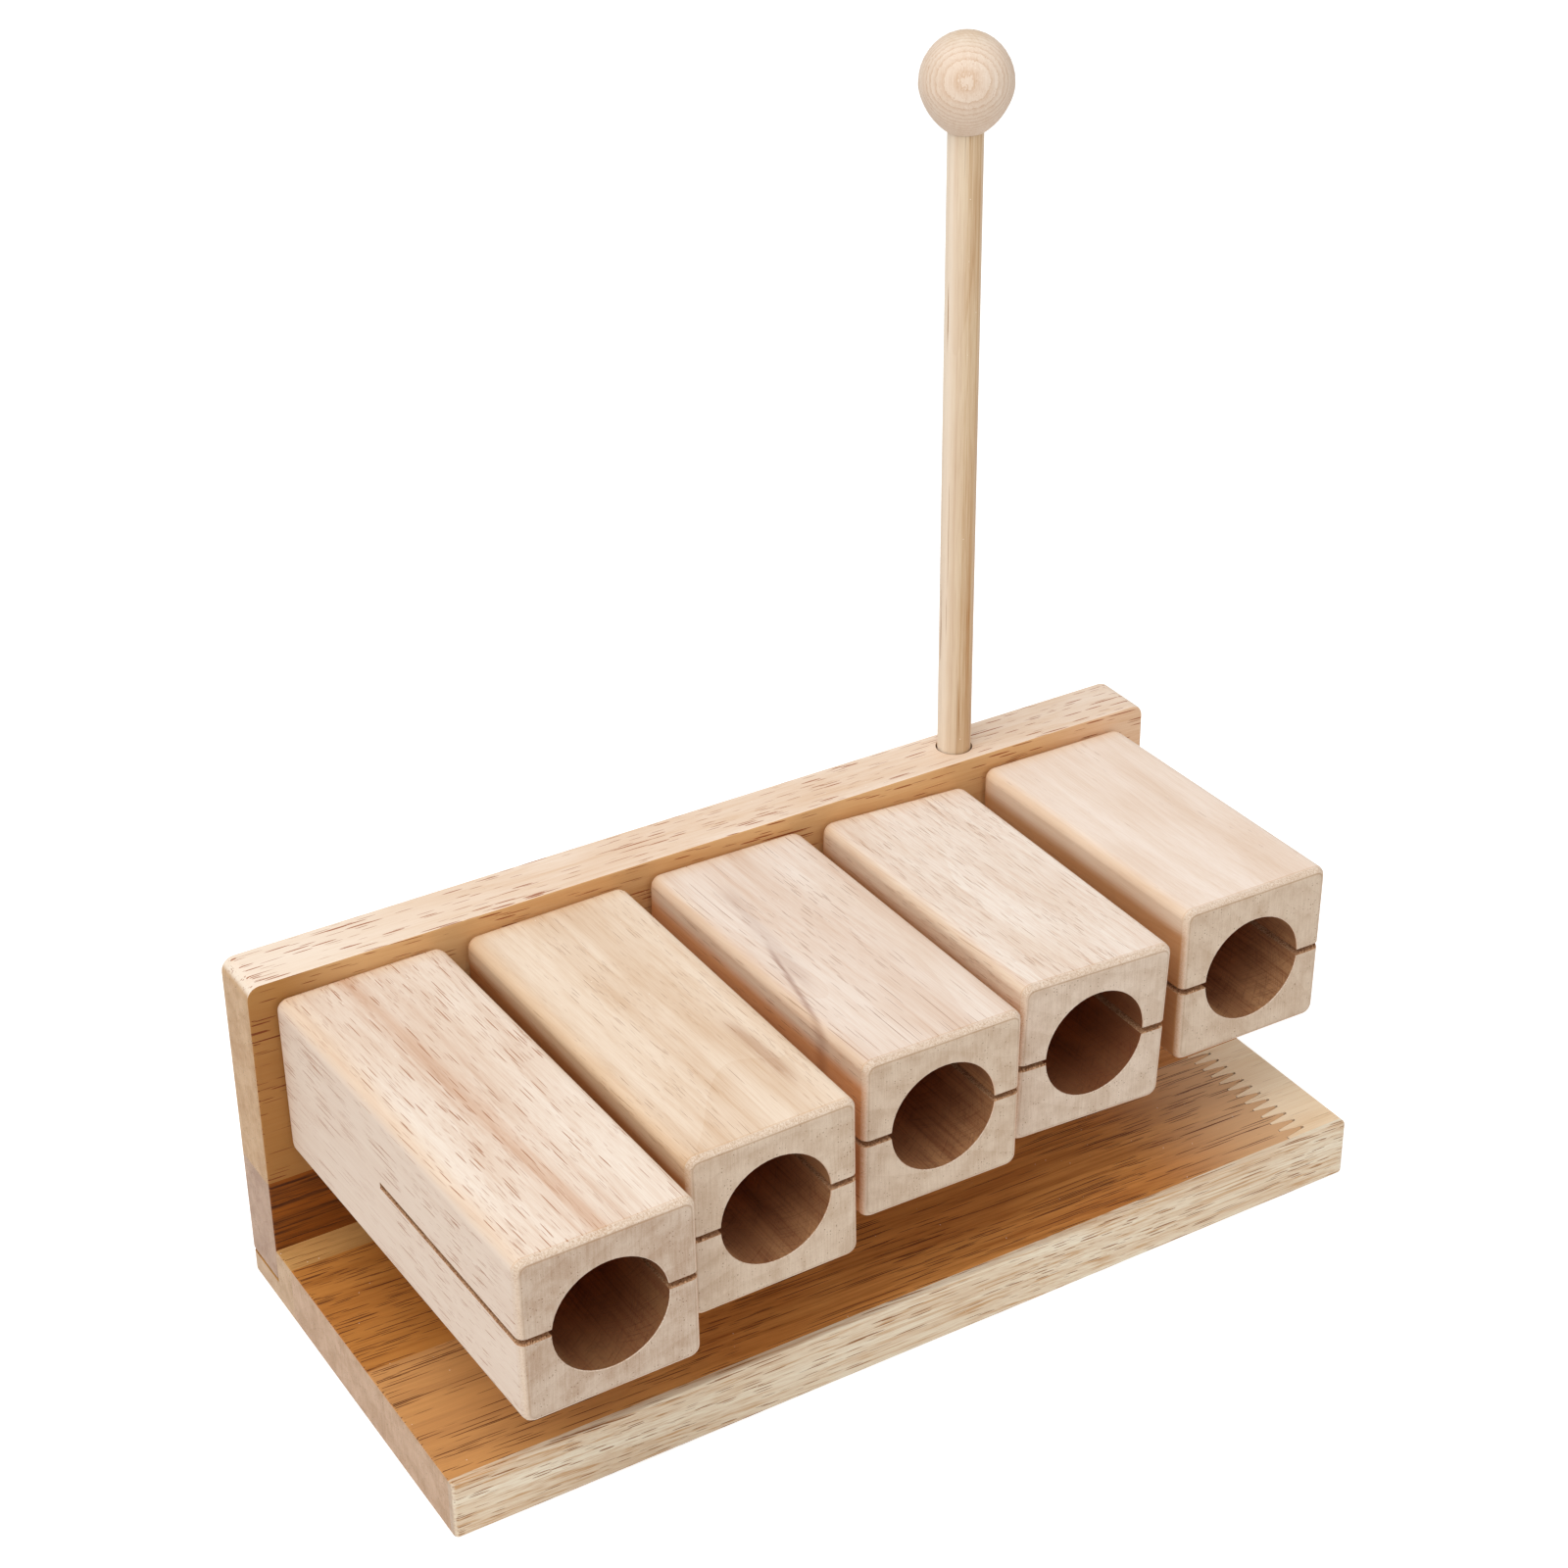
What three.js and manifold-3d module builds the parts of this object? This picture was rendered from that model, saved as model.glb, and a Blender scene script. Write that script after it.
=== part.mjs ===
// A set of five wood blocks on an L-shaped stand, with its mallet standing in the back board.
// Units are millimetres. +Z is up, +X is to the right, and the open ends of the blocks face -Y.
// The origin is the middle of the base board's underside.

import * as THREE from "three";
import { mergeVertices } from "three/addons/utils/BufferGeometryUtils.js";
import Module from "manifold-3d";

const wasm = await Module();
wasm.setup();

// Blocks, from the longest at the left to the shortest at the right
const block_lengths = [134.6, 121.5, 111.4, 103.3, 97.4];
const block_width = 49.6;
const block_height = 49.6;
const block_edge_radius = 3.2;
const block_mouth_radius = 2.2;
const block_rear_radius = 3.5;
const block_gap = 7.4;
const block_drop = 4.3;
const bore_diameter = 32.4;
const bore_mouth_chamfer = 0.2;
const bore_heel = 42;
const slit_kerf = 2;
const slit_heel = 60;
// Where each bore's axis lies, as shares of the width from the left and of the height from below, and each slit
const bore_side_shares = [0.501, 0.506, 0.504, 0.51, 0.502];
const bore_height_shares = [0.488, 0.495, 0.497, 0.5, 0.478];
const slit_height_shares = [0.518, 0.498, 0.492, 0.48, 0.474];
// Each hangs on one screw, so it stands a little off true. As shares of the gap, it stands to the right, its
// front end stands further to the right, and it sags. It is also turned about its long axis, top to the right.
const shift_shares = [0.14, 0.05, 0, -0.09, -0.03];
const lean_shares = [0.41, 0.13, 0.24, 0, 0.23];
const sag_shares = [0.04, 0, -0.04, 0.22, 0];
const twist_degrees = [-0.5, -0.7, 0.8, 2.9, 0.8];

// Stand
const board_thickness = 18;
const board_edge_radius = 0.8;
const board_corner_radius = 1.5;
const back_top_corner_radius = 4;
const end_margin = 6.2;
const back_overhang = 3.8;
const base_depth = 128.5;
const stand_height = 105;
const lip_height = 7;

// Staves that the two boards are glued up from. The base's front and middle ones are shares of its depth, and a
// narrow strip of the next stave is left along its front edge.
const front_stave_share = 0.395;
const middle_stave_share = 0.385;
const edge_stave_depth = 2.5;
const back_lower_stave_height = 34;

// Finger joint near the right end of the front stave. The dark fingers point to the right and fall short by more.
const finger_count = 12;
const finger_length = 6.5;
const finger_tip_width = 0.8;
const finger_tip_gap = 1;
const finger_root_gap = 0.3;
const finger_margin = 0.6;
const joint_inset = 16.4;

// Mallet
const stick_diameter = 10;
const stick_end_chamfer = 0.8;
// The ball is a little taller than wide, and draws in below to a mouth round the stick
const ball_diameter = 26;
const ball_crown_height = 14;
const ball_skirt_height = 13;
const ball_skirt_power = 1.7;
const ball_bore_depth = 18;
const mallet_length = 241;
const mallet_hole_depth = 25;
const mallet_hole_clearance = 0.5;
const rest_gap = 0.3;
const glue_gap = 0.3;

// Countersunk wood screws. Those through the base stop short of the back board's upper stave.
const block_screw_length = 40;
const base_screw_cover = 3.7;
const screw_diameter = 4;
const screw_head_diameter = 8;
const screw_head_rim = 0.4;
const screw_point_length = 5;
const screw_sink = 0.3;
const screw_clearance = 0.3;
const screw_hole_spare = 2;
const recess_length = 4.6;
const recess_width = 0.9;
const recess_depth = 1.6;
const base_screw_count = 4;
const base_screw_inset = 30;

// How far a cutting tool runs past a face, and how close two points must lie to be one
const overrun = 5;
const weld_distance = 0.0001;

// How finely the round forms are divided
const arc_steps = 3;
const corner_steps = 6;
const end_steps = 4;
const bore_sides = 48;
const stick_sides = 28;
const ball_sides = 36;
const ball_rings = 10;
const screw_sides = 16;

// Sizes that follow
const block_count = block_lengths.length;
const block_pitch = block_width + block_gap;
const stand_length = 2 * end_margin + block_count * block_width + (block_count - 1) * block_gap;
const base_front = -base_depth / 2;
const base_rear = base_depth / 2;
const back_front = base_rear - board_thickness;
const back_middle = base_rear - board_thickness / 2;
const block_middle_height = stand_height - block_drop - block_height / 2;
const back_stave_line = lip_height + back_lower_stave_height;
const base_screw_length = back_stave_line - base_screw_cover - screw_hole_spare - screw_sink;
const edge_stave_line = base_front + edge_stave_depth;
const front_stave_line = base_front + front_stave_share * base_depth;
const middle_stave_line = front_stave_line + middle_stave_share * base_depth;

const colours = {
  base: 0xb98350,
  baseEnd: 0xdcbd93,
  baseEdge: 0xe0c8a4,
  baseRear: 0xc79d66,
  backUpper: 0xdab88c,
  backLower: 0xa87248,
  blocks: [0xe8d3bd, 0xe6cba6, 0xe9d4bf, 0xebd2b4, 0xeed6bb],
  stick: 0xe3c99f,
  ball: 0xecd3b5,
  steel: 0xb9bcc0,
};

function woodMaterial(colour) {
  return new THREE.MeshStandardMaterial({ color: colour, roughness: 0.62, metalness: 0 });
}

function steelMaterial() {
  return new THREE.MeshStandardMaterial({ color: colours.steel, roughness: 0.35, metalness: 1 });
}

// Solids and geometries

function toSolid(geometry) {
  const bare = geometry.index ? geometry.toNonIndexed() : geometry.clone();
  bare.deleteAttribute("normal");
  bare.deleteAttribute("uv");
  const welded = mergeVertices(bare, weld_distance);
  const corners = welded.index.array;
  const triVerts = [];
  for (let i = 0; i < corners.length; i += 3) {
    const [a, b, c] = [corners[i], corners[i + 1], corners[i + 2]];
    if (a !== b && b !== c && c !== a) {
      triVerts.push(a, b, c);
    }
  }
  const vertProperties = Float32Array.from(welded.attributes.position.array);
  return new wasm.Manifold(new wasm.Mesh({ numProp: 3, vertProperties, triVerts: Uint32Array.from(triVerts) }));
}

function toGeometry(solid) {
  const { vertProperties, triVerts } = solid.getMesh();
  const geometry = new THREE.BufferGeometry();
  geometry.setAttribute("position", new THREE.BufferAttribute(Float32Array.from(vertProperties), 3));
  geometry.setIndex(new THREE.BufferAttribute(Uint32Array.from(triVerts), 1));
  geometry.computeVertexNormals();
  return geometry;
}

function cut(geometry, ...tools) {
  return toGeometry(tools.reduce((solid, tool) => solid.subtract(toSolid(tool)), toSolid(geometry)));
}

function keepInside(geometry, limit) {
  return toGeometry(toSolid(geometry).intersect(toSolid(limit)));
}

// A box between two corners, each given as [x, y, z]
function boxBetween(low, high) {
  const size = high.map((value, axis) => value - low[axis]);
  const middle = high.map((value, axis) => (value + low[axis]) / 2);
  return new THREE.BoxGeometry(...size).translate(...middle);
}

// A solid of revolution about Z from a profile of [radius, height] points, listed from low to high
function turned(profile, sides) {
  const points = profile.map(([radius, height]) => new THREE.Vector2(radius, height));
  return new THREE.LatheGeometry(points, sides).rotateX(Math.PI / 2);
}

// A rectangle about its middle, with one radius for its lower corners and one for its upper corners
function roundedRectangle(width, height, lower_radius, upper_radius) {
  const [right, top] = [width / 2, height / 2];
  const shape = new THREE.Shape();
  shape.moveTo(lower_radius - right, -top);
  shape.absarc(right - lower_radius, lower_radius - top, lower_radius, -Math.PI / 2, 0, false);
  shape.absarc(right - upper_radius, top - upper_radius, upper_radius, 0, Math.PI / 2, false);
  shape.absarc(upper_radius - right, top - upper_radius, upper_radius, Math.PI / 2, Math.PI, false);
  shape.absarc(lower_radius - right, lower_radius - top, lower_radius, Math.PI, 1.5 * Math.PI, false);
  return shape;
}

// The outline drawn out from z = 0 to z = depth, with the rims of both ends rounded
function roundedExtrusion(outline, depth, rim_radius, rim_steps) {
  return new THREE.ExtrudeGeometry(outline, {
    depth: depth - 2 * rim_radius,
    bevelEnabled: true,
    bevelThickness: rim_radius,
    bevelSize: rim_radius,
    bevelOffset: -rim_radius,
    bevelSegments: rim_steps,
    curveSegments: arc_steps,
  }).translate(0, 0, rim_radius);
}

// A closed skin over rings of [x, y, z] points, listed from rear to front. Each ring runs anticlockwise as the
// front shows it.
function skinned(rings) {
  const count = rings[0].length;
  const front = (rings.length - 1) * count;
  const index = [];
  for (let point = 1; point < count - 1; point += 1) {
    index.push(0, point + 1, point, front, front + point, front + point + 1);
  }
  for (let ring = 0; ring < front; ring += count) {
    for (let point = 0; point < count; point += 1) {
      const [near, next] = [ring + point, ring + ((point + 1) % count)];
      index.push(near, next, next + count, near, next + count, near + count);
    }
  }
  const geometry = new THREE.BufferGeometry();
  geometry.setAttribute("position", new THREE.Float32BufferAttribute(rings.flat(2), 3));
  geometry.setIndex(index);
  return geometry;
}

// Screws: the head's top lies at z = 0 and the point at the bottom

function screwProfile(spare, length) {
  const shank = screw_diameter / 2 + spare;
  const head = screw_head_diameter / 2 + spare;
  const cone_height = head - shank;
  return [
    [0, -length],
    [shank, screw_point_length - length],
    [shank, -screw_head_rim - cone_height],
    [head, -screw_head_rim],
  ];
}

function screwGeometry(length) {
  const profile = screwProfile(0, length);
  profile.push([screw_head_diameter / 2, 0], [0, 0]);
  const [long_half, short_half] = [recess_length / 2, recess_width / 2];
  const recess_a = boxBetween([-long_half, -short_half, -recess_depth], [long_half, short_half, overrun]);
  const recess_b = recess_a.clone().rotateZ(Math.PI / 2);
  return cut(turned(profile, screw_sides), recess_a, recess_b);
}

function screwHoleGeometry(length) {
  const mouth = screw_head_diameter / 2 + screw_clearance;
  const profile = screwProfile(screw_clearance, length + screw_hole_spare);
  profile.push([mouth, overrun], [0, overrun]);
  return turned(profile, screw_sides);
}

// Where the screws stand: their heads' places, the turn that points them into the wood, and their lengths
function blockX(index) {
  return (index - (block_count - 1) / 2) * block_pitch;
}

function blockScrewPlace(index) {
  const position = [blockX(index), base_rear - screw_sink, block_middle_height];
  return { position, tilt: -Math.PI / 2, length: block_screw_length };
}

function baseScrewPlace(index) {
  const first = base_screw_inset - stand_length / 2;
  const step = (stand_length - 2 * base_screw_inset) / (base_screw_count - 1);
  return { position: [first + index * step, back_middle, screw_sink], tilt: Math.PI, length: base_screw_length };
}

function screwHoleAt(place) {
  return screwHoleGeometry(place.length).rotateX(place.tilt).translate(...place.position);
}

function screwMesh(name, place) {
  const mesh = new THREE.Mesh(screwGeometry(place.length), steelMaterial());
  mesh.name = name;
  mesh.position.set(...place.position);
  mesh.rotation.x = place.tilt;
  return mesh;
}

const block_screw_places = block_lengths.map((length, index) => blockScrewPlace(index));
const base_screw_places = Array.from({ length: base_screw_count }, (unused, index) => baseScrewPlace(index));

// Base board: one rounded panel, shared out among its staves, with a rebate along the rear

function basePanel() {
  const outline = roundedRectangle(stand_length, base_depth, board_corner_radius, board_corner_radius);
  const panel = roundedExtrusion(outline, board_thickness, board_edge_radius, end_steps / 2);
  const half_length = stand_length / 2 + overrun;
  const rebate = boxBetween(
    [-half_length, back_front, lip_height],
    [half_length, base_rear + overrun, board_thickness + overrun],
  );
  return cut(panel, rebate, ...base_screw_places.map(screwHoleAt));
}

// The joint from front to rear, as a row of blunt fingers. The gaps set the line off to the right.
function fingerLine(root_gap, tip_gap) {
  const first_root = edge_stave_line + finger_margin;
  const pitch = (front_stave_line - first_root) / finger_count;
  const left = stand_length / 2 - joint_inset - finger_length / 2;
  const root = left + root_gap;
  const tip = left + finger_length + tip_gap;
  const half_blunt = finger_tip_width / 2;
  const points = [[root, edge_stave_line]];
  for (let finger = 0; finger < finger_count; finger += 1) {
    const start = first_root + finger * pitch;
    const middle = start + pitch / 2;
    points.push([root, start + half_blunt], [tip, middle - half_blunt]);
    points.push([tip, middle + half_blunt], [root, start + pitch - half_blunt]);
  }
  points.push([root, front_stave_line]);
  return points;
}

function planPrism(points) {
  const shape = new THREE.Shape(points.map(([x, y]) => new THREE.Vector2(x, y)));
  const depth = board_thickness + 2 * overrun;
  return new THREE.ExtrudeGeometry(shape, { depth, bevelEnabled: false }).translate(0, 0, -overrun);
}

function frontStaveLimit() {
  const left = -stand_length / 2 - overrun;
  return planPrism([[left, edge_stave_line], ...fingerLine(0, 0), [left, front_stave_line]]);
}

function frontEndLimit() {
  const right = stand_length / 2 + overrun;
  const joint = fingerLine(finger_root_gap, finger_tip_gap);
  return planPrism([[right, front_stave_line], ...joint.reverse(), [right, edge_stave_line]]);
}

function staveLimit(front, rear) {
  const half_length = stand_length / 2 + overrun;
  return boxBetween([-half_length, front, -overrun], [half_length, rear, board_thickness + overrun]);
}

// Back board: a rounded panel standing in the rebate, in an upper and a lower stave

function backPanel() {
  const height = stand_height - lip_height;
  const length = stand_length + back_overhang;
  const outline = roundedRectangle(length, height, board_corner_radius, back_top_corner_radius);
  const panel = roundedExtrusion(outline, board_thickness, board_edge_radius, end_steps / 2);
  panel.rotateX(Math.PI / 2);
  panel.translate(back_overhang / 2, base_rear, lip_height + height / 2);
  const hole_radius = stick_diameter / 2 + mallet_hole_clearance;
  const hole_profile = [
    [0, stand_height - mallet_hole_depth],
    [hole_radius, stand_height - mallet_hole_depth],
    [hole_radius, stand_height + overrun],
    [0, stand_height + overrun],
  ];
  const mallet_hole = turned(hole_profile, stick_sides).translate(mallet_x, back_middle, 0);
  return cut(panel, mallet_hole, ...block_screw_places.map(screwHoleAt), ...base_screw_places.map(screwHoleAt));
}

function backLimit(bottom, top) {
  const half_length = stand_length / 2 + back_overhang + overrun;
  return boxBetween([-half_length, back_front - overrun, bottom], [half_length, base_rear + overrun, top]);
}

// Blocks: drawn with the middle of the rear end at the origin and the open end towards -Y

// The ring round a block at y, drawn in from its sides by part of its rim's radius
function blockRing(y, inset, rim_radius) {
  const corner_radius = block_edge_radius * (1 - inset / (2 * rim_radius));
  const right = block_width / 2 - inset - corner_radius;
  const top = block_height / 2 - inset - corner_radius;
  const ring = [];
  [[right, -top], [right, top], [-right, top], [-right, -top]].forEach(([x, z], corner) => {
    for (let step = 0; step <= corner_steps; step += 1) {
      const angle = (Math.PI / 2) * (corner - 1 + step / corner_steps);
      ring.push([x + corner_radius * Math.cos(angle), y, z + corner_radius * Math.sin(angle)]);
    }
  });
  return ring;
}

// The bar that a block is cut from, with its rear rim rounder than the one at its mouth
function blockBar(length) {
  const rear = [];
  const front = [];
  for (let step = 0; step <= end_steps; step += 1) {
    const angle = (Math.PI / 2) * (step / end_steps);
    const [in_share, along_share] = [1 - Math.sin(angle), 1 - Math.cos(angle)];
    rear.push(blockRing(-block_rear_radius * along_share, block_rear_radius * in_share, block_rear_radius));
    const front_y = block_mouth_radius * along_share - length;
    front.unshift(blockRing(front_y, block_mouth_radius * in_share, block_mouth_radius));
  }
  return skinned([...rear, ...front]);
}

function boreGeometry(length) {
  const radius = bore_diameter / 2;
  const profile = [
    [0, bore_heel],
    [radius, bore_heel],
    [radius, length - bore_mouth_chamfer],
    [radius + bore_mouth_chamfer + overrun, length + overrun],
    [0, length + overrun],
  ];
  return turned(profile, bore_sides).rotateX(Math.PI / 2);
}

function blockGeometry(index) {
  const length = block_lengths[index];
  const bore_x = (bore_side_shares[index] - 1 / 2) * block_width;
  const bore_z = (bore_height_shares[index] - 1 / 2) * block_height;
  const bore = boreGeometry(length).translate(bore_x, 0, bore_z);
  const half_width = block_width / 2 + overrun;
  const slit = boxBetween([-half_width, -length - overrun, -slit_kerf / 2], [half_width, -slit_heel, slit_kerf / 2]);
  slit.translate(0, 0, (slit_height_shares[index] - 1 / 2) * block_height);
  const straight = cut(blockBar(length), bore, slit);
  const lean = lean_shares[index] * block_gap;
  const shear = new THREE.Matrix4().makeShear(0, 0, -lean / length, 0, 0, 0);
  const shift = shift_shares[index] * block_gap;
  const sag = sag_shares[index] * block_gap;
  const twisted = straight.rotateY(THREE.MathUtils.degToRad(twist_degrees[index]));
  const hung = twisted.translate(shift, 0, -sag).applyMatrix4(shear);
  const screw_y = board_thickness - screw_sink;
  return cut(hung, screwHoleGeometry(block_screw_length).rotateX(-Math.PI / 2).translate(0, screw_y, 0));
}

// Mallet: a dowel with a ball bored to take its upper end. It stands in line with the last gap between blocks.

const mallet_x = (blockX(block_count - 2) + blockX(block_count - 1)) / 2;
const mallet_foot = stand_height - mallet_hole_depth + rest_gap;
const ball_middle = mallet_length - ball_crown_height;
const ball_mouth = ball_middle - ball_skirt_height;
const ball_bore_radius = stick_diameter / 2 + glue_gap;

function stickGeometry() {
  const radius = stick_diameter / 2;
  const top = ball_mouth + ball_bore_depth - glue_gap;
  const profile = [
    [0, 0],
    [radius - stick_end_chamfer, 0],
    [radius, stick_end_chamfer],
    [radius, top - stick_end_chamfer],
    [radius - stick_end_chamfer, top],
    [0, top],
  ];
  return turned(profile, stick_sides);
}

function ballGeometry() {
  const radius = ball_diameter / 2;
  const mouth_share = (ball_bore_radius / radius) ** ball_skirt_power;
  const drop = ball_skirt_height / (1 - mouth_share) ** (1 / ball_skirt_power);
  const mouth_angle = Math.asin(mouth_share ** (1 / 2));
  const profile = [
    [0, ball_mouth + ball_bore_depth],
    [ball_bore_radius, ball_mouth + ball_bore_depth],
  ];
  for (let ring = 0; ring < ball_rings; ring += 1) {
    const angle = mouth_angle + (Math.PI / 2 - mouth_angle) * (ring / ball_rings);
    const out = Math.sin(angle) ** (2 / ball_skirt_power);
    const down = Math.cos(angle) ** (2 / ball_skirt_power);
    profile.push([radius * out, ball_middle - drop * down]);
  }
  for (let ring = 0; ring < ball_rings; ring += 1) {
    const angle = (Math.PI / 2) * (ring / ball_rings);
    profile.push([radius * Math.cos(angle), ball_middle + ball_crown_height * Math.sin(angle)]);
  }
  profile.push([0, ball_middle + ball_crown_height]);
  return turned(profile, ball_sides);
}

// Assembly

function addMesh(group, name, geometry, material) {
  const mesh = new THREE.Mesh(geometry, material);
  mesh.name = name;
  group.add(mesh);
  return mesh;
}

function baseGroup() {
  const group = new THREE.Group();
  const panel = basePanel();
  const staves = [
    ["base_edge_stave", staveLimit(base_front - overrun, edge_stave_line), colours.baseEdge],
    ["base_front_stave", frontStaveLimit(), colours.base],
    ["base_front_end_stave", frontEndLimit(), colours.baseEnd],
    ["base_middle_stave", staveLimit(front_stave_line, middle_stave_line), colours.base],
    ["base_rear_stave", staveLimit(middle_stave_line, base_rear + overrun), colours.baseRear],
  ];
  for (const [name, limit, colour] of staves) {
    addMesh(group, name, keepInside(panel, limit), woodMaterial(colour));
  }
  return group;
}

function backGroup() {
  const group = new THREE.Group();
  const panel = backPanel();
  const lower = backLimit(lip_height - overrun, back_stave_line);
  const upper = backLimit(back_stave_line, stand_height + overrun);
  addMesh(group, "back_lower_stave", keepInside(panel, lower), woodMaterial(colours.backLower));
  addMesh(group, "back_upper_stave", keepInside(panel, upper), woodMaterial(colours.backUpper));
  return group;
}

function blocksGroup() {
  const group = new THREE.Group();
  block_lengths.forEach((length, index) => {
    const material = woodMaterial(colours.blocks[index]);
    const block = addMesh(group, `wood_block_${index + 1}`, blockGeometry(index), material);
    block.position.set(blockX(index), back_front, block_middle_height);
  });
  return group;
}

function screwsGroup() {
  const group = new THREE.Group();
  block_screw_places.forEach((place, index) => group.add(screwMesh(`block_screw_${index + 1}`, place)));
  base_screw_places.forEach((place, index) => group.add(screwMesh(`base_screw_${index + 1}`, place)));
  return group;
}

function malletGroup() {
  const group = new THREE.Group();
  addMesh(group, "mallet_stick", stickGeometry(), woodMaterial(colours.stick));
  addMesh(group, "mallet_ball", ballGeometry(), woodMaterial(colours.ball));
  group.position.set(mallet_x, back_middle, mallet_foot);
  return group;
}

const wood_block_set = new THREE.Group();
wood_block_set.add(baseGroup(), backGroup(), blocksGroup(), screwsGroup(), malletGroup());

export default wood_block_set;
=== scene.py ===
"""Five wood blocks on their stand with a ball mallet: wood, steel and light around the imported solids."""

import math
import random

import bmesh
import bpy
from mathutils import Matrix, Vector


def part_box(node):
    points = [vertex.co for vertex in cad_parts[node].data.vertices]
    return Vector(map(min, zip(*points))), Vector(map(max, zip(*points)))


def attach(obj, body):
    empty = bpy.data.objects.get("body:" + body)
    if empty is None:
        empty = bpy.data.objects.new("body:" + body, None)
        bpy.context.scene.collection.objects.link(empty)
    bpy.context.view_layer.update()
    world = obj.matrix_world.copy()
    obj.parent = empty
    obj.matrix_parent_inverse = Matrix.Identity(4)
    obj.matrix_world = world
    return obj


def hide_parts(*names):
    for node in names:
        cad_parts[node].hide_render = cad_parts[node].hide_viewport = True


MM = 0.001

# Camera, at the photograph's viewing angle
CAMERA_LENS = 72.603
CAMERA_SENSOR = 36
CAMERA_ANGLES = (-30.928, 30.159, 0.671)
CAMERA_PLACE = (-0.379214, -0.621722, 0.568744)

# Light and stage
WORLD_STRENGTH = 0.59
KEY_ENERGY = 8.3
KEY_SIZE = 0.9
KEY_PLACE = (-0.55, -0.25, 1.15)
FILL_ENERGY = 2.6
FILL_SIZE = 0.8
FILL_PLACE = (0.1, -1.3, 0.35)
FLOOR_HALF = 6.0
FLOOR_LIFT = 0.00002
FLOOR_GREY = 0.8
FLOOR_GLOW = 0.62

# How the solids' meshes are tidied
WELD = 0.000002
FLAT_ANGLE = math.radians(0.4)
SMOOTH_ANGLE = math.radians(38)

# The parts of a block's surface, as the numbers of their materials, and how they are told apart
OUTER_PART = 0
BORE_PART = 1
SLIT_PART = 2
SKIN = 0.00005
ALONG_AXIS = 0.9
ROUND_WALL = 0.2
ARRIS_REACH = 0.001
ARRIS_SLOPE = 0.3
SLIT_REACH = 0.004
# The slits end 60 mm before a block's rear end and the bores 42 mm, and this lies between
HEEL_SPLIT = 0.05

# Torn fibres in mm, and how likely one is
FIBRE_SEED = 7
FIBRE_HALF_WIDTH = (0.12, 0.32)
FIBRE_DEPTH = (0.15, 0.4)
FIBRE_LEAN = 0.25
FIBRE_HEIGHT = 0.25
CLUMP_HEIGHT = 1.15
FIBRE_STEP = (0.22, 0.5)
FIBRE_INSET = 0.12
FIRST_STEP = (0.0, 0.3)
FIRST_CLUMP = (0.2, 1.0)
LATER_CLUMPS = (0.0, 1.0)
NEW_CLUMP_CHANCE = 0.12
LEAST_CHANCE = 0.35

# The woods' seeds, and how far in mm one seed moves a piece in the solid texture
FIRST_BOARD_SEED = 1
FIRST_BLOCK_SEED = 11
STICK_SEED = 21
BALL_SEED = 22
SEED_STEPS = (37.0, 53.0, 91.0)

# How fast pores grow with their chance, and how sharp they are
PORE_GROWTH = 6.0
PORE_EDGE = 7.0

# Lengths in mm: a stripe's fade at its ends, how far below a block's top the painted shade on its sides
# starts and is full, how far behind its mouth a bore starts to redden and darken, partly with painted shade,
# and is fully so, and a bore's radius
STRIPE_FADE = 12.0
PAINTED_SHADE_DEPTHS = (4.5, 9.5)
BORE_SHADE_DEPTHS = (-2.0, 38.0)
BORE_RADIUS = 16.0

# The shine of dry wood, and how deep in metres the bumps are
DRY_SHINE = 0.25
WOOD_BUMP = 0.0001
TORN_BUMP = 0.0003
ZINC_BUMP = 0.00003


# Colours


def colour(code):
    """A colour written as six hexadecimal digits, in the linear values that the shaders take."""
    channels = [int(code[i : i + 2], 16) / 255 for i in (0, 2, 4)]
    linear = [c / 12.92 if c <= 0.04045 else ((c + 0.055) / 1.055) ** 2.4 for c in channels]
    return (*linear, 1.0)


# Shader trees


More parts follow.
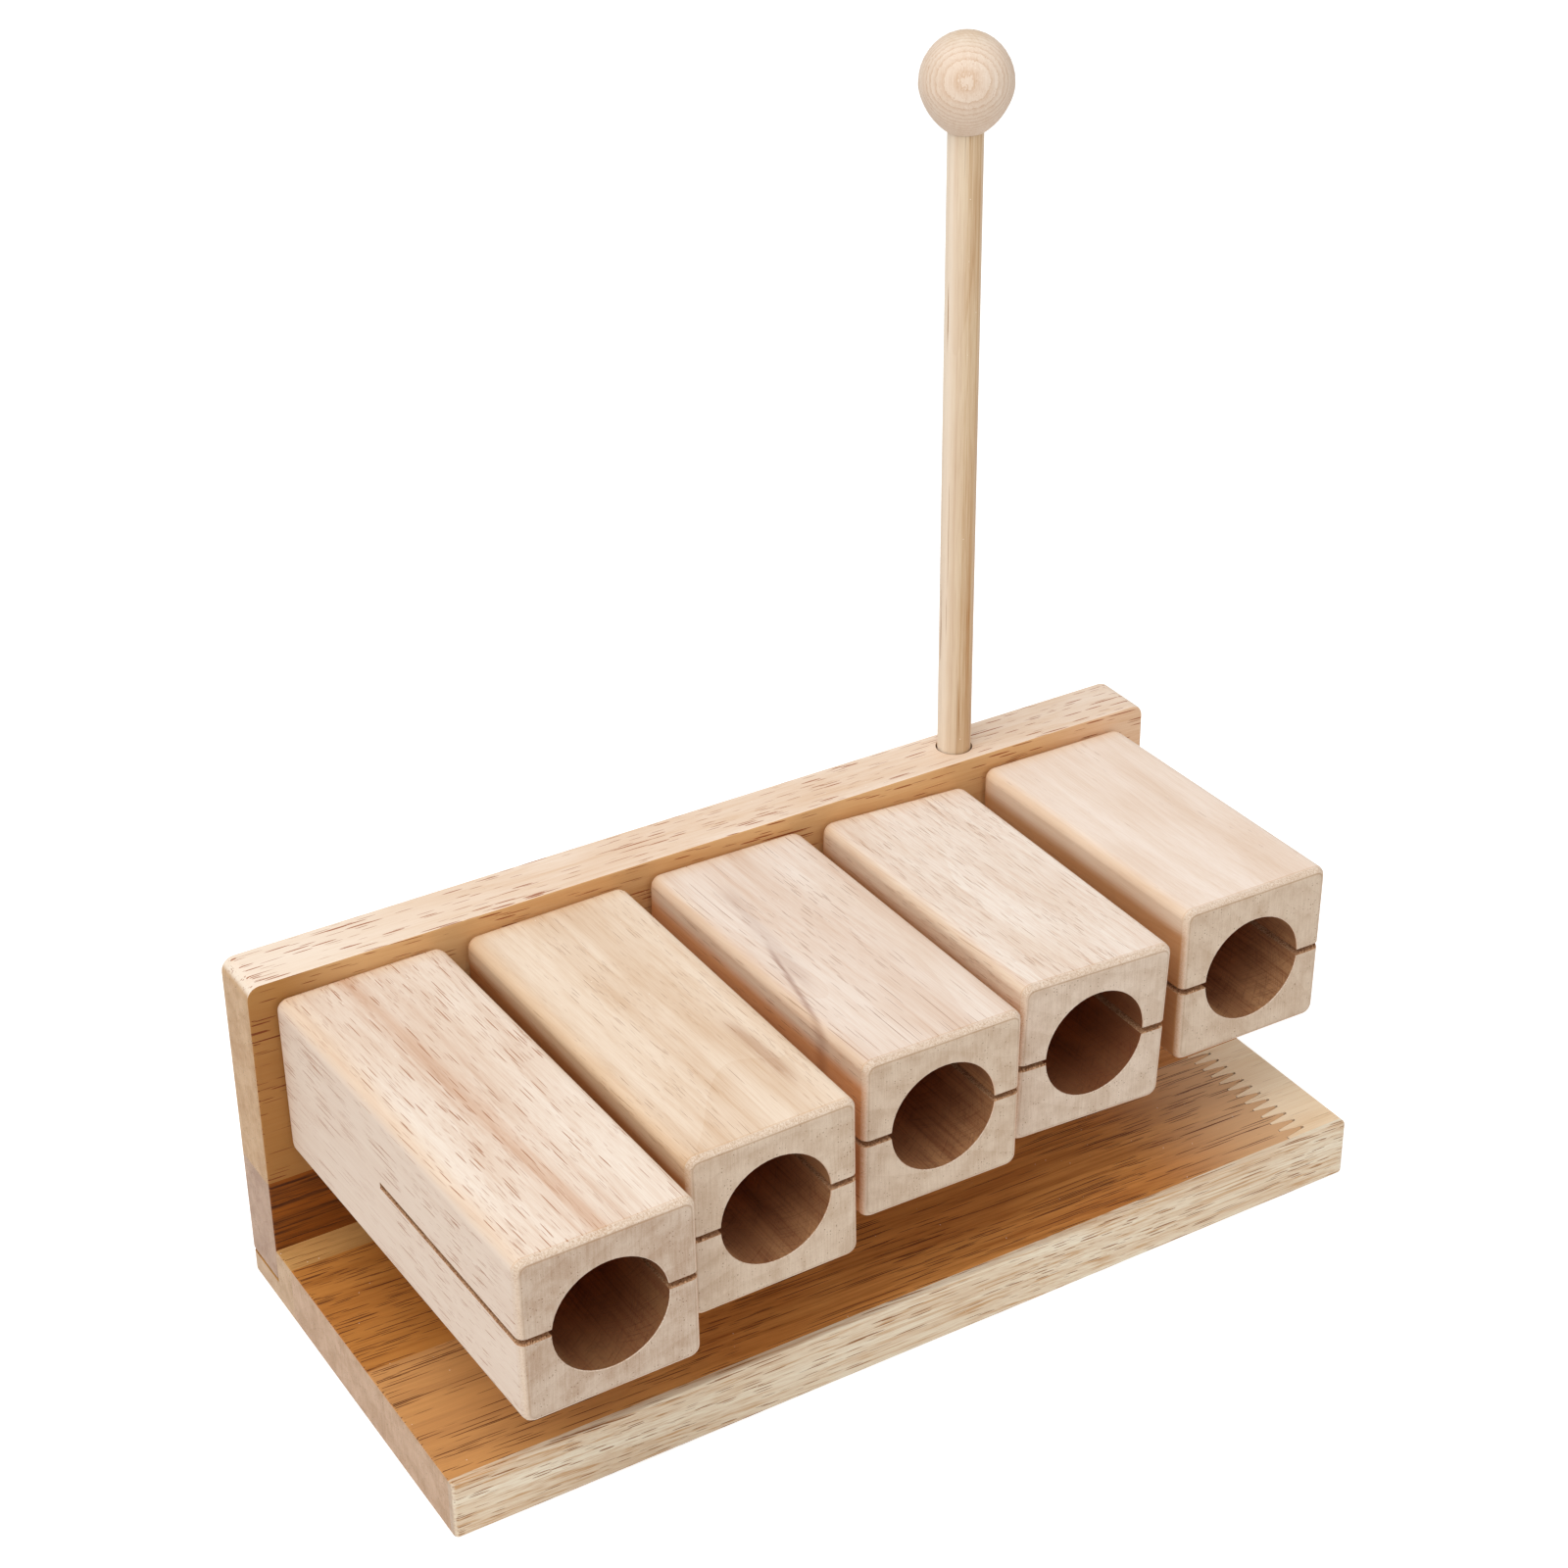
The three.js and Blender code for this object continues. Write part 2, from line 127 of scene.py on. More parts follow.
class Tree:
    """Adds nodes to a material and joins them, so that a texture reads as a calculation."""

    def __init__(self, owner):
        owner.use_nodes = True
        self.nodes = owner.node_tree.nodes
        self.links = owner.node_tree.links
        self.nodes.clear()

    def node(self, kind, *values, **settings):
        made = self.nodes.new(kind)
        for name, setting in settings.items():
            setattr(made, name, setting)
        for socket, value in zip(made.inputs, values):
            self.put(socket, value)
        return made

    def put(self, socket, value):
        if value is None:
            return
        if isinstance(value, bpy.types.NodeSocket):
            self.links.new(value, socket)
        else:
            socket.default_value = value

    def math(self, operation, *values, clamp=False):
        return self.node("ShaderNodeMath", *values, operation=operation, use_clamp=clamp).outputs[0]

    def add(self, *values):
        total = values[0]
        for value in values[1:]:
            total = self.math("ADD", total, value)
        return total

    def times(self, *values):
        total = values[0]
        for value in values[1:]:
            total = self.math("MULTIPLY", total, value)
        return total

    def vector(self, operation, *values):
        return self.node("ShaderNodeVectorMath", *values, operation=operation).outputs[0]

    def length(self, value):
        return self.node("ShaderNodeVectorMath", value, operation="LENGTH").outputs["Value"]

    def dot(self, a, b):
        return self.node("ShaderNodeVectorMath", a, b, operation="DOT_PRODUCT").outputs["Value"]

    def split(self, value):
        return self.node("ShaderNodeSeparateXYZ", value).outputs

    def join(self, x, y, z):
        return self.node("ShaderNodeCombineXYZ", x, y, z).outputs[0]

    def scaled(self, value, x, y, z):
        return self.vector("MULTIPLY", value, (x, y, z))

    def moved(self, value, x, y, z):
        return self.vector("ADD", value, (x, y, z))

    def noise(self, place, detail=2.0, roughness=0.5):
        """Smooth noise, from about 0.25 to 0.75, that changes once for each unit of place."""
        made = self.node("ShaderNodeTexNoise")
        self.put(made.inputs["Vector"], place)
        made.inputs["Scale"].default_value = 1.0
        made.inputs["Detail"].default_value = detail
        made.inputs["Roughness"].default_value = roughness
        return made.outputs[0]

    def cells(self, place, dimensions="3D"):
        """How far the nearest scattered point is, one for each unit cell, and that point's own chance."""
        made = self.node("ShaderNodeTexVoronoi", voronoi_dimensions=dimensions)
        self.put(made.inputs["Vector"], place)
        made.inputs["Scale"].default_value = 1.0
        return made.outputs["Distance"], self.split(made.outputs["Color"])[0]

    def span(self, value, low, high, to_low=0.0, to_high=1.0):
        """Value's place between low and high, eased at both ends."""
        return self.node(
            "ShaderNodeMapRange", value, low, high, to_low, to_high, interpolation_type="SMOOTHSTEP"
        ).outputs[0]

    def between(self, value, start, full, leave, end):
        """1 from full to leave, easing to 0 at start and at end."""
        return self.times(self.span(value, start, full), self.span(value, end, leave))

    def blend(self, share, a, b, kind="MIX"):
        made = self.nodes.new("ShaderNodeMix")
        made.data_type = "RGBA"
        made.blend_type = kind
        made.clamp_factor = True
        colours = [socket for socket in made.inputs if socket.type == "RGBA"]
        self.put(made.inputs[0], share)
        self.put(colours[0], a)
        self.put(colours[1], b)
        return next(socket for socket in made.outputs if socket.type == "RGBA")

    def bump(self, height, distance):
        made = self.node("ShaderNodeBump")
        made.inputs["Distance"].default_value = distance
        self.put(made.inputs["Height"], height)
        return made.outputs[0]

    def surface(self, base, roughness, normal, **fixed):
        """Ends the tree in a principled surface, with what is the same all over set on its own sockets."""
        shader = self.nodes.new("ShaderNodeBsdfPrincipled")
        for name, value in fixed.items():
            shader.inputs[name.replace("_", " ")].default_value = value
        self.put(shader.inputs["Base Color"], base)
        self.put(shader.inputs["Roughness"], roughness)
        self.put(shader.inputs["Normal"], normal)
        output = self.nodes.new("ShaderNodeOutputMaterial")
        self.links.new(shader.outputs[0], output.inputs["Surface"])


def object_place(tree):
    """The point's place in the object's own axes, in millimetres."""
    place = tree.vector("SCALE", tree.node("ShaderNodeTexCoord").outputs["Object"])
    place.node.inputs["Scale"].default_value = 1 / MM
    return place


def object_direction(tree):
    """The way that the surface faces, in the object's own axes."""
    return tree.node("ShaderNodeTexCoord").outputs["Normal"]


# Wood

GRAIN_AXES = {"X": (1, 0, 0), "Y": (0, 1, 0), "Z": (0, 0, 1)}


def grain_place(tree, place, kind, seed):
    """The same point with its third number along the grain, which slopes and wanders a little."""
    x, y, z = tree.split(place)
    across, up, along = {"X": (y, z, x), "Y": (x, z, y), "Z": (x, y, z)}[kind["grain"]]
    far = tree.scaled(tree.join(across, up, along), 1 / 50, 1 / 50, 1 / 85)
    sway = tree.times(tree.math("SUBTRACT", tree.noise(tree.moved(far, seed, 0, 0), 1.0), 0.5), kind["sway"])
    across = tree.add(across, tree.times(along, kind["slope"][0]), sway)
    up = tree.add(up, tree.times(along, kind["slope"][1]), sway)
    return tree.moved(tree.join(across, up, along), *(seed * step for step in SEED_STEPS))


def pores(tree, place, layer, crowd):
    """Vessels cut open: dashes along the grain, and dots on the end grain."""
    across, along, radius, share, strength = layer
    distance, chance = tree.cells(tree.scaled(place, 1 / across, 1 / across, 1 / along))
    there = tree.math("SUBTRACT", chance, tree.math("SUBTRACT", 1.0, tree.times(crowd, share)))
    size = tree.times(tree.math("MULTIPLY", there, PORE_GROWTH, clamp=True), radius)
    cut = tree.math("MULTIPLY", tree.math("SUBTRACT", size, distance), PORE_EDGE / radius, clamp=True)
    return tree.times(cut, strength)


def rings(tree, place, kind, seed):
    """Growth rings round a pith: 0 in the early wood, rising to 1 at the end of each ring."""
    x, y = tree.split(place)[:2]
    pith_x, pith_y = kind["pith"]
    side = tree.math("SUBTRACT", x, pith_x + seed * SEED_STEPS[0])
    up = tree.math("SUBTRACT", y, pith_y + seed * SEED_STEPS[1])
    drift = tree.noise(tree.scaled(place, 1 / 55, 1 / 55, 1 / 120), 1.0)
    reach = tree.add(tree.length(tree.join(side, up, 0.0)), tree.times(drift, kind["waver"]))
    if kind["fray"] > 0:
        fray = tree.noise(tree.scaled(place, 1.4, 1.4, 0.9), 2.0, 0.6)
        reach = tree.add(reach, tree.times(fray, kind["fray"]))
    return tree.math("POWER", tree.math("FRACT", tree.math("DIVIDE", reach, kind["ring"])), 3.0)


def wood_tone(tree, place, kind, ring):
    """The sawn face's colour without its pores: broad bands, growth rings, streaks and fine fibres."""
    band = tree.noise(tree.scaled(place, 1 / kind["band"], 1 / kind["band"], 1 / 240), 2.0)
    streak_place = tree.scaled(place, 1 / kind["streak"], 1 / kind["streak"], 1 / kind["streak_length"])
    streak = tree.noise(streak_place, 3.0, 0.6)
    hair = tree.noise(tree.scaled(place, 3.6, 3.6, 1 / 12), 2.0, 0.65)
    shade = tree.add(
        tree.times(tree.span(band, 0.34, 0.66), kind["band_share"]),
        tree.times(ring, kind["ring_share"]),
        tree.times(tree.span(streak, 0.45, 0.72), kind["streak_share"]),
        tree.times(tree.span(hair, 0.4, 0.7), kind["hair_share"]),
    )
    tone = tree.blend(shade, colour(kind["light"]), colour(kind["dark"]))
    cloud = tree.noise(tree.scaled(place, 1 / 16, 1 / 16, 1 / 45), 2.0)
    cloudy = tree.span(cloud, 0.4, 0.7, 0.0, kind["cloud_share"])
    return tree.blend(cloudy, tone, colour(kind["cloud"]), "MULTIPLY"), streak


def end_grain(tree, place, kind, ring):
    """The end grain's colour: rays, mottling and the vessels as dots."""
    distance, chance = tree.cells(tree.scaled(place, 1 / 0.85, 1 / 0.85, 0.0), "2D")
    crowd = tree.span(tree.noise(tree.scaled(place, 1 / 5, 1 / 5, 0.0)), 0.3, 0.7, 0.9, 0.55)
    there = tree.math("MULTIPLY", tree.math("SUBTRACT", chance, crowd), 3.0, clamp=True)
    dots = tree.math("MULTIPLY", tree.math("SUBTRACT", tree.times(there, 0.26), distance), 12.0, clamp=True)
    ray = tree.noise(tree.scaled(place, 2.6, 0.12, 0.2), 3.0, 0.7)
    mottle = tree.noise(tree.scaled(place, 1 / 7, 1 / 7, 1 / 20), 3.0, 0.6)
    grit = tree.noise(tree.scaled(place, 3.2, 3.2, 3.2), 2.0, 0.7)
    shade = tree.add(
        tree.times(tree.span(ray, 0.35, 0.7), 0.3),
        tree.times(tree.span(mottle, 0.35, 0.68), 0.45),
        tree.times(tree.span(grit, 0.3, 0.7), 0.22),
        tree.times(ring, kind["ring_share"]),
    )
    tone = tree.blend(shade, colour(kind["end_light"]), colour(kind["end_dark"]))
    return tree.blend(tree.times(dots, 0.7), tone, colour(kind["end_pore"]))


def edges_worn_and_shaded(tree, direction, tone, kind):
    """Sanded arrises: on the boards a little paler than the faces, as real wear; on the blocks darker, as
    painted shade against the key light's highlight on their rounded edges.
    """
    x, y, z = tree.split(direction)
    squareness = tree.math("MAXIMUM", tree.math("ABSOLUTE", x), tree.math("ABSOLUTE", y))
    squareness = tree.math("MAXIMUM", squareness, tree.math("ABSOLUTE", z))
    edge_wear_and_shade = tree.span(squareness, 0.97, 0.78, 0.0, kind["edge_wear_and_shade_share"])
    return tree.blend(edge_wear_and_shade, tone, colour(kind["edge_wear_and_shade"]))


def mouth_rim(tree, place, direction, tone):
    """A block's rounded mouth rim: pale and fuzzy, with a thin brown line where the flat end starts."""
    facing = tree.math("MULTIPLY", tree.split(direction)[1], -1.0, clamp=True)
    upper = tree.span(tree.split(direction)[2], -0.1, 0.4, 0.3, 0.8)
    fuzz = tree.noise(tree.scaled(place, 2.6, 1.3, 2.6), 3.0, 0.75)
    pale = tree.blend(tree.span(fuzz, 0.36, 0.64), colour("c2a487"), colour("e6d5c3"))
    rim = tree.times(tree.between(facing, 0.15, 0.4, 0.86, 0.93), upper)
    tone = tree.blend(rim, tone, pale)
    border = tree.times(tree.between(facing, 0.03, 0.1, 0.16, 0.3), upper)
    tone = tree.blend(tree.times(border, 0.45), tone, colour("c99e72"))
    line = tree.times(tree.between(facing, 0.9, 0.945, 0.965, 0.99), upper)
    return tree.blend(tree.times(line, 0.7), tone, colour("a27c58"))


def gap_stain(tree, place, direction, tone, side, top, deepest_shade):
    """Painted shade on a block's side that faces another block: as its top at the rounded edge, and browner
    further down, where less light reaches between the blocks.
    """
    facing = tree.span(tree.times(tree.split(direction)[0], side), 0.35, 1.0)
    depth = tree.span(tree.split(place)[2], top - PAINTED_SHADE_DEPTHS[0], top - PAINTED_SHADE_DEPTHS[1])
    painted_shade = tree.blend(depth, colour("fffcf6"), colour(deepest_shade))
    return tree.blend(facing, tone, painted_shade, "MULTIPLY")


def pale_side(tree, direction, tone):
    """The first block's open side, which is greyer than its top."""
    facing = tree.span(tree.times(tree.split(direction)[0], -1.0), 0.3, 0.95, 0.0, 0.6)
    return tree.blend(facing, tone, colour("e6d4c5"))


def wood(name, kind, seed):
    """Sawn and sanded wood, all from one solid texture, so that every cut through it agrees."""
    material = bpy.data.materials.new(name)
    tree = Tree(material)
    real_place = object_place(tree)
    direction = object_direction(tree)
    place = grain_place(tree, real_place, kind, seed)
    ring = rings(tree, place, kind, seed)
    tone, streak = wood_tone(tree, place, kind, ring)
    real_axes = tree.split(real_place)
    # Washes along an axis; on the blocks and on the dowel's right side they are painted shade
    for axis, start, end, code, share, mixing in kind["washes_and_painted_shade"]:
        there = tree.span(real_axes[axis], start, end, 0.0, share)
        tone = tree.blend(there, tone, colour(code), mixing)
    for middle, width, slope, share, rear, front in kind["stripes"]:
        offset = tree.math("SUBTRACT", tree.add(real_axes[0], tree.times(real_axes[1], slope)), middle)
        sway = tree.times(tree.math("SUBTRACT", streak, 0.5), width * 1.5)
        there = tree.span(tree.math("ABSOLUTE", tree.add(offset, sway)), width, 0.0, 0.0, share)
        ends = tree.between(real_axes[1], front - STRIPE_FADE, front, rear, rear + STRIPE_FADE)
        there = tree.times(there, ends)
        tone = tree.blend(there, tone, colour(kind["stripe"]), "MULTIPLY")
    if kind["open_side"]:
        tone = pale_side(tree, direction, tone)
    crowd = tree.span(tree.noise(tree.scaled(place, 1 / 12, 1 / 12, 1 / 70)), 0.36, 0.64, *kind["crowds"])
    cuts = None
    for number, layer in enumerate(kind["pores"]):
        cut = pores(tree, tree.moved(place, number * 31.0, number * 17.0, number * 5.0), layer, crowd)
        cuts = cut if cuts is None else tree.math("MAXIMUM", cuts, cut)
    tone = tree.blend(cuts, tone, colour(kind["pore"]))
    flecks = pores(tree, tree.moved(place, 77.0, 5.0, 3.0), kind["flecks"], 1.0)
    tone = tree.blend(flecks, tone, colour("fff6ea"))

    axis = GRAIN_AXES[kind["grain"]]
    end = tree.span(tree.math("ABSOLUTE", tree.dot(direction, axis)), 0.72, 0.95)
    tone = tree.blend(end, tone, end_grain(tree, place, kind, ring))
    tone = edges_worn_and_shaded(tree, direction, tone, kind)
    # Painted shade: the blocks' sides that face each other, and the back board's face towards the blocks
    for painted_shade_tint in kind["painted_shade_tints"]:
        tone = painted_shade_tint(tree, real_place, direction, tone)
    if kind["mouth"]:
        tone = mouth_rim(tree, real_place, direction, tone)

    rough = tree.span(streak, 0.3, 0.7, kind["rough"] - 0.05, kind["rough"] + 0.08)
    height = tree.add(tree.times(cuts, -0.35), tree.times(streak, 0.35))
    tree.surface(tone, rough, tree.bump(height, WOOD_BUMP), Specular_IOR_Level=DRY_SHINE)
    return material


def board_front_painted_shade(tree, place, direction, tone):
    """Painted shade on the back board's face towards the blocks: browner than its top, darkest at its far
    left and lighter at its right end.
    """
    x = tree.split(place)[0]
    facing = tree.span(tree.times(tree.split(direction)[1], -1.0), 0.3, 0.95)
    painted_shade_tint = tree.blend(tree.span(x, -138.0, -110.0), colour("b38952"), colour("e2c598"))
    painted_shade_tint = tree.blend(tree.span(x, 100.0, 142.0), painted_shade_tint, colour("f2e0cc"))
    return tree.blend(facing, tone, painted_shade_tint, "MULTIPLY")


# A layer of pores: its cells' size across and along the grain in mm, a pore's radius as a share of its cell,
# the share of the cells that hold one, and how strongly it shows
SMALL_PORES = (0.5, 16.0, 0.26, 0.5, 0.7)
FINE_PORES = (0.32, 9.0, 0.24, 0.75, 0.42)
HAIR_PORES = (0.42, 34.0, 0.21, 0.75, 0.6)
LONG_HAIRS = (0.6, 95.0, 0.19, 0.9, 0.6)
LONG_PORES = (1.1, 75.0, 0.13, 0.9, 0.85)
BROAD_PORES = (0.9, 15.0, 0.28, 0.7, 0.85)
STREAK_PORES = (0.6, 60.0, 0.27, 0.95, 0.9)
LONG_STREAKS = (1.7, 150.0, 0.14, 0.9, 0.95)

# Plain wood, and what each piece changes in it. Some washes are the wood's own colour and some painted shade;
# a wash is an axis, where on it in mm the colour starts and is full, the colour, its share and how it mixes.
# A stripe is its middle and half width in mm, its slope, its share, and its rear and front ends.
PLAIN = {
    "grain": "X",
    "light": "ecd5bd",
    "dark": "cfa985",
    "pore": "8f5a34",
    "cloud": "e6d2bc",
    "cloud_share": 0.3,
    "end_light": "ddc9b3",
    "end_dark": "bda288",
    "end_pore": "7c5a40",
    "edge_wear_and_shade": "f3e6d2",
    "edge_wear_and_shade_share": 0.3,
    "stripe": "d8b294",
    "slope": (0.02, 0.02),
    "sway": 3.0,
    "band": 8.0,
    "band_share": 0.3,
    "pith": (-40.0, -70.0),
    "ring": 7.0,
    "waver": 22.0,
    "fray": 0.0,
    "ring_share": 0.15,
    "streak": 1.3,
    "streak_length": 45.0,
    "streak_share": 0.25,
    "hair_share": 0.25,
    "crowds": (0.25, 1.0),
    "pores": (SMALL_PORES, FINE_PORES, LONG_PORES),
    "flecks": (2.4, 2.4, 0.07, 0.25, 0.8),
    "washes_and_painted_shade": (),
    "stripes": (),
    "painted_shade_tints": (),
    "mouth": False,
    "open_side": False,
    "bore": "b8875c",
    # The deepest painted shade on a block's side that faces another block
    "gap": "cca680",
    "rough": 0.56,
}

BOARDS = {
    "base_edge_stave": {
        "slot": "base_edge_wood",
        "light": "f2e8d2",
        "dark": "c49767",
        "pore": "8e5c30",
        "streak": 0.8,
        "streak_length": 70.0,
        "streak_share": 0.6,
        "slope": (0.05, 0.035),
        "crowds": (0.6, 1.0),
        "pores": (LONG_STREAKS, LONG_HAIRS, STREAK_PORES),
        "end_light": "d6c0aa",
        "end_dark": "b4977c",
    },
    "base_front_stave": {
        "slot": "base_wood",
        "light": "dc9952",
        "dark": "9c5b22",
        "pore": "5a2c10",
        "cloud": "dcb890",
        "end_light": "d6b69a",
        "end_dark": "b28d6c",
        "streak_share": 0.4,
        "slope": (0.035, 0.02),
        "crowds": (0.5, 1.0),
        "band": 5.0,
        "band_share": 0.45,
        "pores": (STREAK_PORES, STREAK_PORES, LONG_STREAKS, SMALL_PORES),
        "washes_and_painted_shade": ((0, 76.0, 128.0, "dcb48a", 0.8, "MIX"), (0, -50.0, -110.0, "c89660", 0.55, "MIX")),
    },
    "base_front_end_stave": {
        "slot": "base_end_wood",
        "light": "fbe6c7",
        "dark": "e5c194",
        "pore": "a5723f",
        "crowds": (0.1, 0.6),
        "slope": (0.03, 0.02),
        "pores": (HAIR_PORES, FINE_PORES),
    },
    "base_middle_stave": {
        "slot": "base_wood",
        "light": "de984c",
        "dark": "9e5c22",
        "pore": "5a2c10",
        "cloud": "dcb890",
        "end_light": "d6b69a",
        "end_dark": "b28d6c",
        "streak_share": 0.45,
        "slope": (0.04, 0.02),
        "crowds": (0.6, 1.1),
        "band": 5.0,
        "band_share": 0.45,
        "pores": (STREAK_PORES, STREAK_PORES, LONG_STREAKS, SMALL_PORES),
        "washes_and_painted_shade": ((0, -50.0, -110.0, "ab6e2e", 0.55, "MIX"),),
    },
    "base_rear_stave": {
        "slot": "base_rear_wood",
        "light": "d8a868",
        "dark": "a5733a",
        "pore": "6e3f16",
        "end_light": "d8ba9a",
        "end_dark": "b6926e",
        "slope": (0.03, 0.02),
        "pores": (STREAK_PORES, FINE_PORES),
    },
    "back_lower_stave": {
        "slot": "back_lower_wood",
        "light": "b0641c",
        "dark": "421d04",
        "band_share": 0.4,
        "streak_share": 0.6,
        "pore": "3a1605",
        "end_light": "c9aa92",
        "end_dark": "a4826c",
        "slope": (0.0, 0.03),
        "pores": (STREAK_PORES, LONG_STREAKS, SMALL_PORES),
    },
    "back_upper_stave": {
        "slot": "back_upper_wood",
        "light": "f6e3d1",
        "dark": "e0bc98",
        "pore": "a0562a",
        "cloud": "ecd8c0",
        "end_light": "d6b48e",
        "end_dark": "b48a60",
        "slope": (0.02, 0.03),
        "crowds": (0.6, 1.0),
        "pores": (BROAD_PORES, SMALL_PORES, LONG_PORES, LONG_STREAKS),
        "washes_and_painted_shade": ((0, -50.0, -120.0, "fbeedd", 0.4, "MIX"),),
        # Painted shade on the face towards the blocks
        "painted_shade_tints": (board_front_painted_shade,),
    },
}

BLOCKS = [
    {
        "bore": "986c46",
        "light": "f3e4d4",
        "dark": "d2b095",
        "pore": "a05c2c",
        "cloud": "e8d4c2",
        "band_share": 0.15,
        "open_side": True,
        "end_light": "d6c2ae",
        "end_dark": "b1937a",
        "crowds": (0.5, 1.0),
        "pores": ((0.62, 30.0, 0.26, 0.6, 0.72), LONG_PORES, (0.36, 12.0, 0.25, 0.75, 0.42), HAIR_PORES),
        "stripe": "dcbba2",
        "stripes": (
            (-116.0, 5.8, 0.055, 0.66, 60.0, -100.0),
            (-108.0, 2.0, 0.05, 0.2, 60.0, -100.0),
        ),
        "slope": (0.045, 0.03),
    },
    {
        "gap": "cc9c70",
        "light": "f0dcc6",
        "dark": "d3b08e",
        "cloud": "e4cfb4",
        "pores": (HAIR_PORES, FINE_PORES),
        "slope": (0.03, 0.02),
        "stripes": ((-44.0, 3.5, 0.06, 0.55, -36.0, -52.0),),
        "stripe": "c4a48c",
    },
    {
        "gap": "f4c598",
        "light": "f1e1d3",
        "dark": "d6b49a",
        "stripes": ((-14.0, 1.3, -0.2, 0.6, -12.0, -40.0), (-13.0, 4.0, -0.1, 0.25, 20.0, -20.0)),
        "stripe": "b09086",
        "slope": (0.05, 0.02),
        "crowds": (0.4, 1.0),
        "pores": (HAIR_PORES, LONG_HAIRS),
    },
    {
        "bore": "8a5a38",
        "light": "f8ebde",
        "end_light": "e1cebb",
        "end_dark": "c1a890",
        "band_share": 0.15,
        "dark": "d7b499",
        "slope": (0.05, 0.03),
        "crowds": (0.5, 1.0),
        "hair_share": 0.35,
        "pore": "a06c42",
        "pores": (LONG_HAIRS, HAIR_PORES, (0.6, 90.0, 0.16, 0.8, 0.65)),
    },
    {
        "bore": "c49468",
        "gap": "d6b088",
        "light": "f7e6d8",
        "band_share": 0.15,
        "dark": "dfc0a3",
        "slope": (0.02, 0.03),
        "crowds": (0.0, 0.3),
        "streak_share": 0.15,
        "pores": (HAIR_PORES, FINE_PORES),
    },
]

STICK = {
    "grain": "Z",
    "light": "e2ceb0",
    "dark": "b4834c",
    "pore": "96622c",
    "slope": (0.0, 0.0),
    "sway": 0.0,
    "streak": 0.9,
    "streak_length": 120.0,
    "streak_share": 0.5,
    "crowds": (0.4, 1.0),
    "pores": (LONG_HAIRS, LONG_STREAKS),
    "end_light": "dec9a6",
}

BALL = {
    "grain": "Z",
    "light": "e6d4c2",
    "dark": "cba888",
    "pore": "b88a62",
    "slope": (-0.157, -0.262),
    "sway": 0.5,
    "end_light": "e8d9c8",
    "end_dark": "d0b598",
    "end_pore": "cdb094",
    "band_share": 0.1,
    "streak_share": 0.15,
    "pith": (52.4, -2.8),
    "ring": 1.05,
    "waver": 2.0,
    "fray": 0.7,
    "ring_share": 0.6,
    "crowds": (0.1, 0.4),
    "edge_wear_and_shade_share": 0.0,
    "flecks": (0.35, 0.35, 0.22, 0.4, 0.5),
}


def bore_wood(name, axis, mouth, wall, seed):
    """A bore's wall: redder and darker with depth, partly the drilled wood's own colour and partly painted
    shade, with the bit's crossing marks and fine lines of grain.
    """
    material = bpy.data.materials.new(name)
    tree = Tree(material)
    place = object_place(tree)
    x, y, z = tree.split(place)
    side = tree.math("SUBTRACT", x, axis[0])
    up = tree.math("SUBTRACT", z, axis[1])
    turn = tree.times(tree.math("ARCTAN2", side, up), BORE_RADIUS)
    hatch = []
    for slope, shift in ((0.75, 3.0), (-0.75, 21.0)):
        cross = tree.add(tree.times(turn, slope), y)
        run = tree.math("SUBTRACT", turn, tree.times(y, slope))
        lines = tree.join(tree.times(cross, 2.2), tree.times(run, 0.06), shift + seed)
        hatch.append(tree.span(tree.noise(lines, 3.0, 0.7), 0.5, 0.7))
    marks = tree.math("MAXIMUM", *hatch)
    band = tree.noise(tree.join(tree.times(turn, 0.16), tree.times(y, 0.006), seed), 2.0, 0.5)
    grain = tree.noise(tree.join(tree.times(turn, 1.5), tree.times(y, 0.045), seed), 3.0, 0.6)
    shade = tree.add(
        tree.times(tree.span(band, 0.35, 0.65), 0.35),
        tree.times(tree.span(grain, 0.4, 0.7), 0.35),
        tree.times(marks, 0.3),
    )
    # Painted shade in part: the wall reddens and darkens from the mouth inwards
    depth = tree.span(y, mouth + BORE_SHADE_DEPTHS[0], mouth + BORE_SHADE_DEPTHS[1])
    light = tree.blend(depth, colour(wall), colour("a04818"))
    dark = tree.blend(depth, colour("82492a"), colour("521a06"))
    tone = tree.blend(shade, light, dark)
    height = tree.add(tree.times(marks, -1.0), grain)
    tree.surface(tone, 0.62, tree.bump(height, WOOD_BUMP), Specular_IOR_Level=DRY_SHINE)
    return material


def torn_wood(name, seed):
    """The saw cut and its torn fibres: rough, dry and reddish brown."""
    material = bpy.data.materials.new(name)
    tree = Tree(material)
    place = object_place(tree)
    rough = tree.noise(tree.moved(tree.scaled(place, 2.0, 2.0, 2.0), seed, 0, 0), 4.0, 0.75)
    tone = tree.blend(tree.span(rough, 0.35, 0.68), colour("dcb48c"), colour("9c6238"))
    tree.surface(tone, 0.8, tree.bump(rough, TORN_BUMP), Specular_IOR_Level=DRY_SHINE)
    return material


def zinc(name):
    """Zinc-plated steel, with fine turning marks and a little dulling."""
    material = bpy.data.materials.new(name)
    tree = Tree(material)
    place = object_place(tree)
    dull = tree.noise(tree.scaled(place, 0.9, 0.9, 0.9), 4.0, 0.6)
    tone = tree.blend(tree.span(dull, 0.35, 0.7), colour("c9cbcd"), colour("a3a49f"))
    rough = tree.span(dull, 0.3, 0.7, 0.28, 0.5)
    tree.surface(tone, rough, tree.bump(dull, ZINC_BUMP), Metallic=1.0)
    return material


# Pieces


